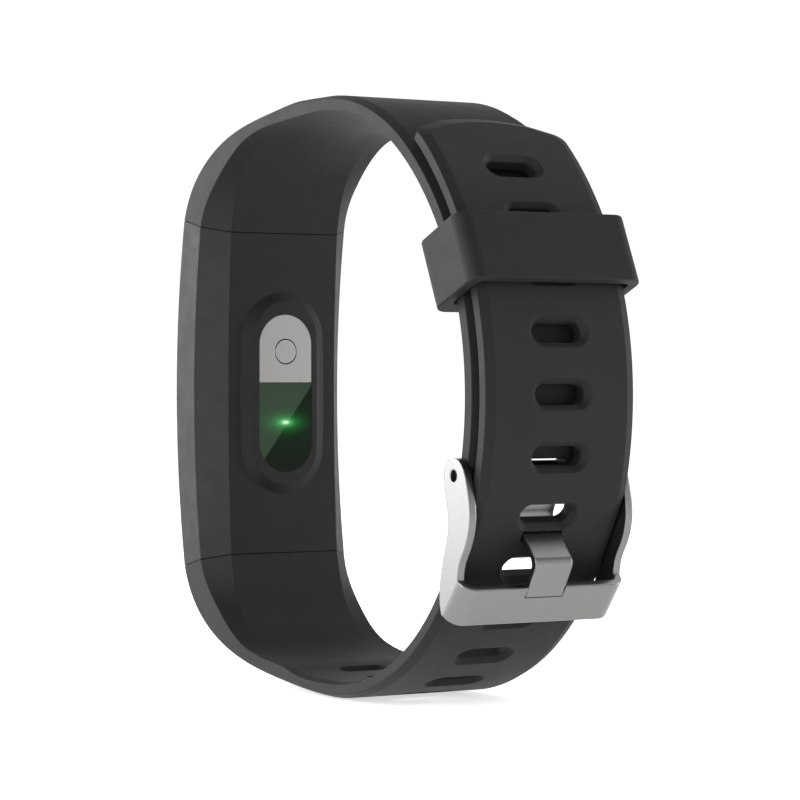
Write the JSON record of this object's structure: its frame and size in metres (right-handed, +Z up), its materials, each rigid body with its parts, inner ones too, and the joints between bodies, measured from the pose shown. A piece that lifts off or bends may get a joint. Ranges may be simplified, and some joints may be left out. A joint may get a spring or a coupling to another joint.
{
  "type": "fitness tracker band",
  "caption": "Slim wrist-worn activity tracker with a curved case, sensor island, soft straps, buckle and keeper, closed as a loop.",
  "frame": {"origin": "middle of the wrist opening of the closed band, half way between its two sides", "axes": "+Y along the wrist, +Z up along the length of the case, +X from the case towards the buckle"},
  "size_m": [0.0639, 0.0206, 0.0632],
  "materials": {
    "silicone": "matte moulded silicone",
    "case_plastic": "fine matte moulding",
    "inner_plastic": "plain moulding",
    "screen_glass": "black backed gloss",
    "sensor_glass": "dark tinted gloss",
    "steel": "satin brushed",
    "electrode": "bead blasted",
    "display": "glass faced module",
    "board": "solder mask",
    "chip": "moulded package",
    "led": "clear package",
    "gold": "plated",
    "cell": "laminated pouch",
    "black_steel": "black oxide",
    "adhesive": "foam tape",
    "flex": "polyimide",
    "tungsten": "sintered"
  },
  "bodies": {
    "band": {"battery_cell": "cell", "battery_tape": "adhesive", "board_screws": "steel", "charger_chip": "chip", "contact_button": "electrode", "contact_pins": "gold", "display_flex": "flex", "display_panel": "display", "electrode_pad": "electrode", "front_bezel": "case_plastic", "front_lens": "screen_glass", "green_leds": "led", "housing": "case_plastic", "inner_frame": "inner_plastic", "lens_gasket": "adhesive", "light_baffle": "inner_plastic", "lower_strap": "silicone", "lower_tongue": "inner_plastic", "main_board": "board", "motion_sensor_chip": "chip", "motor_can": "steel", "photodiode": "chip", "processor_chip": "chip", "radio_antenna": "chip", "sensor_board": "board", "sensor_window": "sensor_glass", "spring_bar_spring": "steel", "spring_bar_tube": "steel", "touch_electrode": "gold", "upper_strap": "silicone", "upper_tongue": "inner_plastic"},
    "buckle": {"buckle_frame": "steel"},
    "prong": {"buckle_prong": "steel"},
    "keeper": {"keeper_loop": "silicone"},
    "pin_near": {"spring_bar_pin_near": "black_steel"},
    "pin_far": {"spring_bar_pin_far": "black_steel"},
    "motor_rotor": {"motor_shaft": "steel", "motor_weight": "tungsten"}
  },
  "joints": [
    {"name": "buckle_swing", "type": "hinge", "parent": "band", "child": "buckle", "pos_m": [0.0252, 0, -0.0078], "axis": [0, 1, 0], "range_deg": [0, 8]},
    {"name": "prong_swing", "type": "hinge", "parent": "band", "child": "prong", "pos_m": [0.0252, 0, -0.0078], "axis": [0, -1, 0], "range_deg": [0, 1.5]},
    {"name": "keeper_slide", "type": "hinge", "parent": "band", "child": "keeper", "pos_m": [-0.00575, 0, 0], "axis": [0, -1, 0], "range_deg": [-25, 16]},
    {"name": "pin_near_press", "type": "slide", "parent": "band", "child": "pin_near", "axis": [0, 1, 0], "range_m": [0, 0.00075], "stiffness_N_per_m": 400},
    {"name": "pin_far_press", "type": "slide", "parent": "band", "child": "pin_far", "axis": [0, -1, 0], "range_m": [0, 0.00075], "stiffness_N_per_m": 400},
    {"name": "motor_spin", "type": "hinge", "parent": "band", "child": "motor_rotor", "pos_m": [-0.0281, 0, -0.0122], "axis": [0, 1, 0], "continuous": true}
  ]
}
